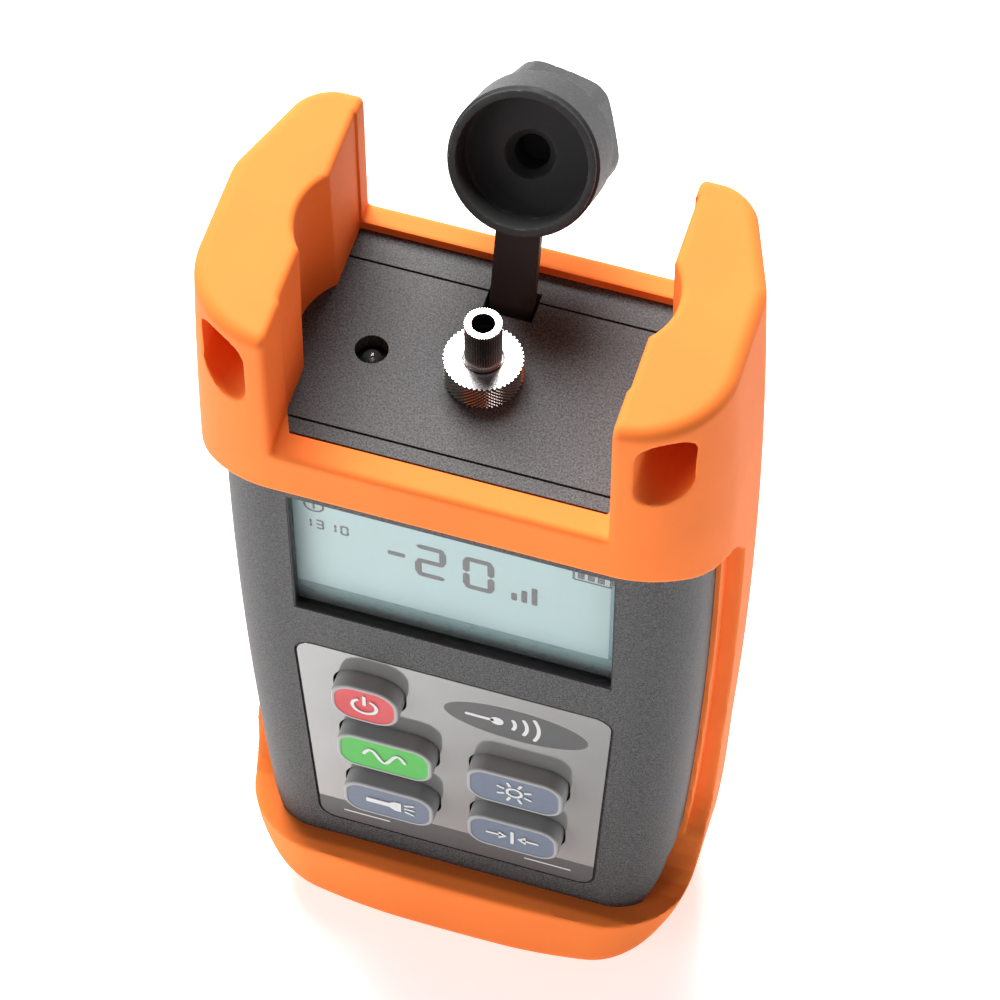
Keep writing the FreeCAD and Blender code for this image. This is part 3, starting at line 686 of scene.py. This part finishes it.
def plate(name, loops, y0, y1, mats, bevel=0.0):
    """Flat piece in X and Z between y0 (front) and y1, from closed loops; inner loops are holes."""
    cu = bpy.data.curves.new(name, "CURVE")
    cu.dimensions = "2D"
    cu.fill_mode = "BOTH"
    cu.extrude = max(0.0, (y1 - y0) / 2 - bevel)
    if bevel:
        cu.bevel_depth = bevel
        cu.bevel_resolution = 1
        cu.offset = -bevel
    for lp in loops:
        sp = cu.splines.new("POLY")
        sp.points.add(len(lp) - 1)
        for p, (x, z) in zip(sp.points, lp):
            p.co = (x, z, 0.0, 1.0)
        sp.use_cyclic_u = True
    tmp = bpy.data.objects.new(name, cu)
    link(tmp)
    dg = bpy.context.evaluated_depsgraph_get()
    me = bpy.data.meshes.new_from_object(tmp.evaluated_get(dg))
    bpy.data.objects.remove(tmp)
    bpy.data.curves.remove(cu)
    n = len(me.vertices)
    co = np.empty(n * 3)
    me.vertices.foreach_get("co", co)
    co = co.reshape(-1, 3)
    ym = (y0 + y1) / 2
    out = np.stack([co[:, 0], ym - co[:, 2], co[:, 1]], 1) * MM
    me.vertices.foreach_set("co", out.ravel())
    weld(me)
    me.materials.clear()
    for m in (mats if isinstance(mats, (list, tuple)) else [mats]):
        me.materials.append(m)
    me.update()
    return link(bpy.data.objects.new(name, me))


def round_rect(x0, x1, z0, z1, r, k=8):
    pts = []
    for cx, cz, a0 in ((x1 - r, z0 + r, -90), (x1 - r, z1 - r, 0), (x0 + r, z1 - r, 90), (x0 + r, z0 + r, 180)):
        for i in range(k + 1):
            a = math.radians(a0 + 90.0 * i / k)
            pts.append((cx + r * math.cos(a), cz + r * math.sin(a)))
    return pts


def oval(cx, cz, a, b, n=72):
    return [(cx + a * math.cos(2 * math.pi * i / n), cz + b * math.sin(2 * math.pi * i / n)) for i in range(n)]


def stroke(points, w, closed=False):
    """Outline of a line of width w through the points, with round ends."""
    pts = [np.array(p, float) for p in points]
    left, right_ = [], []
    n = len(pts)
    for i, p in enumerate(pts):
        a = pts[i - 1] if i else p
        b = pts[i + 1] if i < n - 1 else p
        d = b - a
        d /= np.linalg.norm(d) + 1e-9
        nn = np.array([-d[1], d[0]]) * w / 2
        left.append(p + nn)
        right_.append(p - nn)
    d0 = pts[0] - pts[1]
    d0 /= np.linalg.norm(d0)
    d1 = pts[-1] - pts[-2]
    d1 /= np.linalg.norm(d1)

    def end(c, d):
        a0 = math.atan2(d[1], d[0])
        return [c + np.array([math.cos(a0 + t), math.sin(a0 + t)]) * w / 2 for t in np.radians([60, 30, 0, -30, -60])]
    out = left + end(pts[-1], d1) + right_[::-1] + end(pts[0], d0)
    return [(float(p[0]), float(p[1])) for p in out]


def arc_pts(cx, cz, r, a0, a1, n=24):
    return [(cx + r * math.cos(math.radians(a0 + (a1 - a0) * i / n)), cz + r * math.sin(math.radians(a0 + (a1 - a0) * i / n)))
            for i in range(n + 1)]


def art(name, shapes, y0, y1, mat, body):
    """Several separate marks as one piece."""
    obs = [plate(name + str(i), lp, y0, y1, mat) for i, lp in enumerate(shapes)]
    v, f, off = [], [], 0
    for o in obs:
        v += [tuple(q.co / MM) for q in o.data.vertices]
        f += [tuple(off + i for i in p.vertices) for p in o.data.polygons]
        off = len(v)
        me = o.data
        bpy.data.objects.remove(o)
        bpy.data.meshes.remove(me)
    o = make_mesh(name, v, f, mat, smooth=False)
    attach(o, body)
    return o


# ------------------------------------------------------------------ keys
KEYS = {
    "key_power": (-17.0, -7.1, 55.0, 63.9, 3.6, RED),
    "key_wavelength": (-16.55, -2.45, 42.1, 50.6, 3.0, GREEN),
    "key_backlight": (2.45, 16.55, 42.1, 50.6, 3.0, SLATE),
    "key_torch": (-16.0, -2.45, 29.15, 37.25, 3.0, SLATE),
    "key_reference": (2.45, 16.0, 29.15, 37.25, 3.0, SLATE),
}
KF = -18.5


def key_mesh(name, x0, x1, z0, z1, r, face):
    """Key with flange, side walls, a soft edge and a shallow dished face."""
    prof = [(-1.0, -12.5), (-1.0, -13.4), (0.0, -13.4), (0.0, -13.6), (0.02, -15.6), (0.05, -18.12), (0.07, -18.28),
            (0.13, -18.41), (0.24, -18.485), (0.36, KF), (0.62, KF), (0.66, KF + 0.045), (0.95, KF + 0.06)]
    w, h = x1 - x0, z1 - z0
    k = 8
    rows = []
    for inset, y in prof:
        rr = max(0.3, r - inset)
        rows.append([(x, y, z) for x, z in round_rect(x0 + inset, x1 - inset, z0 + inset, z1 - inset, rr, k)])
    n = len(rows[0])
    cx, cz = (x0 + x1) / 2, (z0 + z1) / 2
    base = rows[-1]
    for t in (0.8, 0.55, 0.3, 0.12):
        d = 0.06 + 0.10 * (1 - t * t)
        rows.append([(cx + (x - cx) * t, KF + d, cz + (z - cz) * t) for x, _, z in base])
    v = [p for row in rows for p in row]
    f, mi = [], []
    for a in range(len(rows) - 1):
        for i in range(n):
            j = (i + 1) % n
            f.append((a * n + i, a * n + j, (a + 1) * n + j, (a + 1) * n + i))
            # bands 6 to 9, the rounded face edge and outer border, take the lighter gray: painted highlight
            mi.append(0 if a < 6 else (1 if a < 10 else 2))
    f.append(tuple(range(n))[::-1])
    mi.append(0)
    last = (len(rows) - 1) * n
    c = len(v)
    v.append((cx, KF + 0.16, cz))
    for i in range(n):
        f.append((last + i, last + (i + 1) % n, c))
        mi.append(2)
    o = make_mesh(name, v, f, [KEYSIDE, KEY_EDGE_HIGHLIGHT, face])
    o.data.polygons.foreach_set("material_index", mi)
    o.data.set_sharp_from_angle(angle=math.radians(50))
    return o


for node, (x0, x1, z0, z1, r, face) in KEYS.items():
    o = key_mesh(node + "_look", x0, x1, z0, z1, r, face)
    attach(o, node + "_body")
    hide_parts(node)
    {"key_power": "key_red", "key_wavelength": "key_green"}.get(node, "key_slate")

Y0, Y1 = KF - 0.01, KF + 0.24
# power: broken ring with a bar
cx, cz = -12.05, 59.4
art("mark_power", [[stroke(arc_pts(cx, cz, 1.75, 125, 415, 40), 0.5)], [stroke([(cx, cz + 0.5), (cx, cz + 2.5)], 0.5)]],
    Y0, Y1, MARK, "key_power_body")
# wavelength: one and a half waves
cx, cz = -9.5, 46.35
wave = [(cx - 3.0 + 6.0 * i / 40, cz + 1.35 * math.sin(3 * math.pi * i / 40)) for i in range(41)]
art("mark_wave", [[stroke(wave, 0.5)]], Y0, Y1, MARK, "key_wavelength_body")
# backlight: sun
cx, cz = 9.5, 46.35
sun = [[oval(cx, cz, 1.25, 1.25, 40), oval(cx, cz, 0.85, 0.85, 40)[::-1]]]
for k in range(8):
    a = math.radians(45 * k + 22.5)
    sun.append([stroke([(cx + 1.75 * math.cos(a), cz + 1.75 * math.sin(a)), (cx + 2.55 * math.cos(a), cz + 2.55 * math.sin(a))], 0.42)])
art("mark_sun", sun, Y0, Y1, MARK, "key_backlight_body")
# torch
cx, cz = -9.2, 33.2
torch = [[[(cx - 3.3, cz - 0.55), (cx + 0.1, cz - 0.55), (cx + 1.0, cz - 1.2), (cx + 1.9, cz - 1.2), (cx + 1.9, cz + 1.2),
           (cx + 1.0, cz + 1.2), (cx + 0.1, cz + 0.55), (cx - 3.3, cz + 0.55)]]]
for dz, e in ((0.95, 0.55), (0.0, 0.0), (-0.95, -0.55)):
    torch.append([stroke([(cx + 2.55, cz + dz * 0.9), (cx + 3.7, cz + dz * 0.9 + e * 0.8)], 0.38)])
art("mark_torch", torch, Y0, Y1, MARK, "key_torch_body")
# reference: two arrows towards a bar
cx, cz = 9.2, 33.2
ref = [[stroke([(cx, cz - 1.5), (cx, cz + 1.5)], 0.5)]]
for s_ in (-1, 1):
    ref.append([stroke([(cx + s_ * 3.7, cz), (cx + s_ * 1.7, cz)], 0.45)])
    tip = [(cx + s_ * 0.75, cz), (cx + s_ * 2.0, cz + 1.0), (cx + s_ * 2.0, cz - 1.0)]
    ref.append([tip if s_ > 0 else tip[::-1]])
art("mark_reference", ref, Y0, Y1, MARK, "key_reference_body")

# ------------------------------------------------------------------ label


def rounded_poly(pts, r, k=8):
    out = []
    n = len(pts)
    for i in range(n):
        p, a, b = np.array(pts[i]), np.array(pts[i - 1]), np.array(pts[(i + 1) % n])
        u, w = a - p, b - p
        u, w = u / np.linalg.norm(u), w / np.linalg.norm(w)
        ang = math.acos(float(np.clip(u @ w, -1, 1)))
        t = r / math.tan(ang / 2)
        c = p + (u + w) / np.linalg.norm(u + w) * (r / math.sin(ang / 2))
        s0, s1 = p + u * t - c, p + w * t - c
        a0, a1 = math.atan2(s0[1], s0[0]), math.atan2(s1[1], s1[0])
        d = (a1 - a0 + math.pi) % (2 * math.pi) - math.pi
        out += [(c[0] + r * math.cos(a0 + d * i2 / k), c[1] + r * math.sin(a0 + d * i2 / k)) for i2 in range(k + 1)]
    return out


def label_half(z, inset=0.0):
    return 20.35 + (22.5 - 20.35) * (z - 20.8) / (68.2 - 20.8) - inset


label_loops = [rounded_poly([(-20.35, 20.8), (20.35, 20.8), (22.5, 68.2), (-22.5, 68.2)], 2.5)]
for x0, x1, z0, z1, r, _ in KEYS.values():
    label_loops.append(round_rect(x0 - 0.35, x1 + 0.35, z0 - 0.35, z1 + 0.35, r + 0.35)[::-1])
label = plate("keypad_label", label_loops, -16.0, -15.52, [LABEL])
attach(label, "meter")
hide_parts("keypad_plate")
foot = [(-label_half(26.2), 26.2), (label_half(26.2), 26.2)]
corner_r = [p for p in rounded_poly([(-20.35, 20.8), (20.35, 20.8), (22.5, 68.2), (-22.5, 68.2)], 2.5) if p[1] < 25.9]
low_l = sorted([p for p in corner_r if p[0] < 0], key=lambda p: (-p[1], p[0]))
low_r = [(-x, z) for x, z in reversed(low_l)]
foot_loop = [(-label_half(26.2), 26.2)] + low_l + low_r + [(label_half(26.2), 26.2)]
line = lambda xa, xb: [stroke([(xa, 23.5), (xb, 23.5)], 0.3)]
art("label_foot", [[foot_loop]], -16.015, -15.8, STRIP, "meter")
art("label_lines", [line(-16.8, -10.1), line(10.4, 17.1)], -16.03, -15.9, MARK, "meter")
art("label_badge", [[oval(8.95, 60.7, 10.3, 4.0)]], -16.015, -15.8, STRIP, "meter")
# light that leaves a fibre end, in place of a name
bx, bz = 8.95, 60.7
beam = [[stroke([(bx - 7.0, bz), (bx - 3.4, bz)], 0.62)], [oval(bx - 2.7, bz, 0.95, 0.95, 32)]]
for rad in (2.6, 4.3, 6.0):
    beam.append([stroke(arc_pts(bx - 2.7, bz, rad, -26, 26, 18), 0.55)])
art("label_badge_mark", beam, -16.03, -15.9, MARK, "meter")

# ------------------------------------------------------------------ display
win_loops = [round_rect(-23.85, 23.85, 75.45, 105.75, 0.8)]
window = plate("window_plate", win_loops, -14.3, -13.2, [GLASS])
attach(window, "meter")
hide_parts("display_window")
# thin black sheet lining the window recess walls: painted shade
recess_shade_liner = plate("window_recess_painted_shade", [round_rect(-22.29, 22.29, 77.01, 104.19, 0.2, 3), round_rect(-22.12, 22.12, 77.18, 104.02, 0.3, 3)[::-1]],
              -15.9, -14.32, [INK])
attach(recess_shade_liner, "meter")
DY0, DY1 = -13.15, -13.06
SEGS = {"0": "abcdef", "1": "bc", "2": "abged", "3": "abgcd", "4": "fgbc", "5": "afgcd", "6": "afgedc", "7": "abc",
        "8": "abcdefg", "9": "abcdfg", "-": "g"}


def digit(ch, x, z, w, h, t):
    """Seven-segment figure with its lower left corner at x, z."""
    g = t * 0.12
    m = z + h / 2
    def hbar(zc, clip):
        a, b = x + g + t * 0.1, x + w - g - t * 0.1
        hh = t / 2
        return [(a, zc), (a + hh, zc + hh), (b - hh, zc + hh), (b, zc), (b - hh, zc - hh), (a + hh, zc - hh)][::-1]
    def vbar(xc, za, zb):
        hh = t / 2
        return [(xc, za), (xc + hh, za + hh), (xc + hh, zb - hh), (xc, zb), (xc - hh, zb - hh), (xc - hh, za + hh)]
    e = t / 2
    parts = {"a": hbar(z + h - e, 0), "g": hbar(m, 0), "d": hbar(z + e, 0),
             "f": vbar(x + e, m + g, z + h - e - g), "b": vbar(x + w - e, m + g, z + h - e - g),
             "e": vbar(x + e, z + e + g, m - g), "c": vbar(x + w - e, z + e + g, m - g)}
    return [[parts[c]] for c in SEGS[ch]]


shapes = []
shapes += digit("2", -5.85, 88.5, 4.35, 7.7, 0.95)
shapes += digit("0", 0.75, 88.5, 4.35, 7.7, 0.95)
shapes.append([round_rect(-9.6, -7.2, 91.9, 92.8, 0.2, 2)])
for i, ch in enumerate("1310"):
    shapes += digit(ch, -21.2 + i * 1.7, 93.6, 1.2, 2.2, 0.32)
for i in range(3):
    shapes.append([round_rect(16.4 + i * 1.35, 17.35 + i * 1.35, 98.1, 99.8, 0.08, 2)])
shapes.append([round_rect(15.7, 21.1, 97.5, 100.4, 0.3, 4), round_rect(16.05, 20.75, 97.8, 100.1, 0.15, 4)[::-1]])
shapes.append([round_rect(21.1, 21.55, 98.4, 99.5, 0.1, 2)])
shapes.append([oval(-19.6, 99.0, 1.45, 1.45, 40), oval(-19.6, 99.0, 1.15, 1.15, 40)[::-1]])
shapes.append([stroke([(-19.6, 98.4), (-19.6, 99.6)], 0.3)])
shapes.append([round_rect(7.4, 8.2, 88.5, 90.2, 0.2, 2)])
shapes.append([round_rect(8.8, 9.6, 88.5, 91.4, 0.2, 2)])
shapes.append([round_rect(10.2, 11.0, 88.5, 92.6, 0.2, 2)])
art("lcd_figures", shapes, DY0, DY1, SEG, "meter")
# L-shaped band at the bottom and right of the LCD: painted reflection of the window recess wall
art("lcd_wall_painted_reflection", [[[(-23.0, 75.6), (23.0, 75.6), (23.0, 105.6), (20.9, 105.6), (20.9, 79.6), (-23.0, 79.6)]]], -13.135, -13.06, LCD_WALL_REFLECTION,
    "meter")

# ------------------------------------------------------------------ carried-over nodes
LOOK = {
    "front_shell": ABS, "rear_shell": ABS, "battery_door": ABS_IN, "lcd_panel": LCD, "lcd_backlight": WHITE,
    "keypad_membrane": MEMBRANE, "circuit_board": BOARD, "photodiode": STEEL, "battery_cells": CELLS,
    "battery_contacts": STEEL, "housing_screws": STEEL,
}
for node, mat in LOOK.items():
    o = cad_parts[node]
    for s in o.material_slots:
        s.material = mat
    if not o.material_slots:
        o.data.materials.append(mat)

# ------------------------------------------------------------------ floor and lights
fm = Mat("floor_look")
fn = fm.noise(3.0, 2.0, 0.5)
fm.link(fm.ramp(fn, [(0.3, (0.86, 0.86, 0.86)), (0.7, (0.88, 0.88, 0.88))]), fm.b.inputs["Base Color"])
fm.set(Roughness=0.9)
fm.b.inputs["Emission Color"].default_value = (1.0, 1.0, 1.0, 1.0)
fm.b.inputs["Emission Strength"].default_value = 0.58
fl = bpy.data.meshes.new("floor")
fl.from_pydata([(-4, -4, 0), (4, -4, 0), (4, 4, 0), (-4, 4, 0)], [], [(0, 1, 2, 3)])
fl.materials.append(fm.m)
floor = link(bpy.data.objects.new("floor", fl))

world = bpy.data.worlds.new("world")
scene.world = world
world.use_nodes = True
world.node_tree.nodes["Background"].inputs["Color"].default_value = (1.0, 1.0, 1.0, 1.0)
world.node_tree.nodes["Background"].inputs["Strength"].default_value = 0.22


def area(name, pos, target, size, power, color=(1, 1, 1)):
    d = bpy.data.lights.new(name, "AREA")
    d.shape = "RECTANGLE"
    d.size, d.size_y = size
    d.energy = power
    d.color = color
    o = link(bpy.data.objects.new(name, d))
    o.location = pos
    o.rotation_euler = (Vector(target) - Vector(pos)).to_track_quat("-Z", "Y").to_euler()
    return o


area("key", (-0.26, 0.50, 0.90), (0, 0, 0.1), (0.62, 0.62), 25.0)
area("front_fill", (-0.72, -0.72, 0.26), (0, 0, 0.07), (0.6, 0.35), 4.6)
